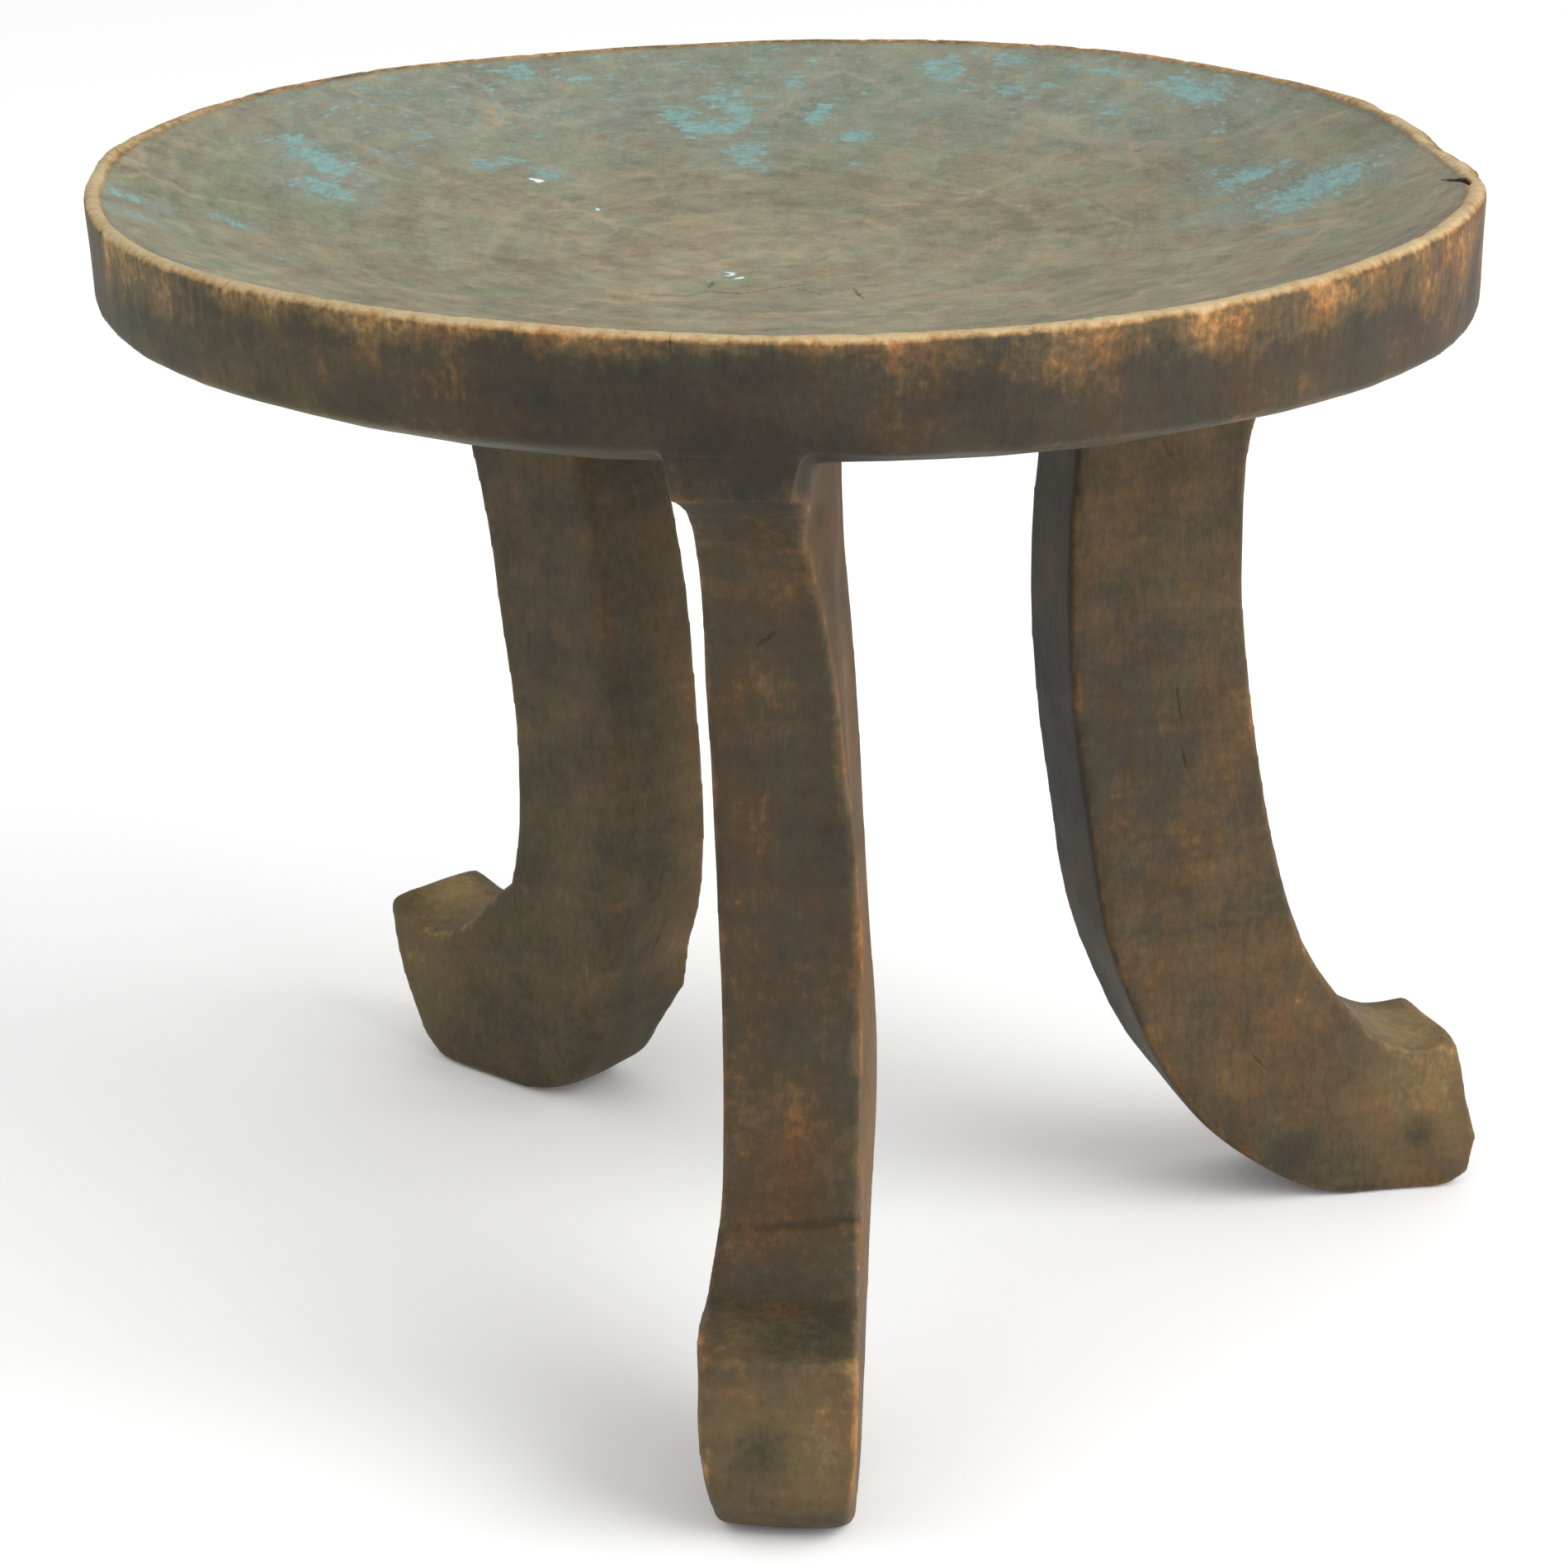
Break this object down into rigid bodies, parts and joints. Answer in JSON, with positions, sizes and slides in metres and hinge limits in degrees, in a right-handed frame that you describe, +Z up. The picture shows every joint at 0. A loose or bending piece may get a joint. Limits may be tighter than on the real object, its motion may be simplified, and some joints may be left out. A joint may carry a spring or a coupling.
{
  "type": "carved three-legged stool",
  "caption": "Low carved stool: a round dished seat with an upright rim on curved legs with shoulders and up-turned feet, all cut from solid wood.",
  "frame": {"origin": "on the floor, under the middle of the whole stool's extent", "axes": "+Z up, out of the dished top; the front leg stands toward -Y, the right leg toward +X"},
  "size_m": [0.3534, 0.3512, 0.2847],
  "materials": {
    "seat_wood": "worn grey-brown hardwood with remains of blue paint in the dish and a pale worn lip",
    "leg_wood": "dark smoke-browned hardwood with reddish worn edges"
  },
  "bodies": {
    "root": {"seat_dish": "seat_wood", "leg_front": "leg_wood", "leg_right": "leg_wood", "leg_left": "leg_wood"}
  },
  "joints": []
}
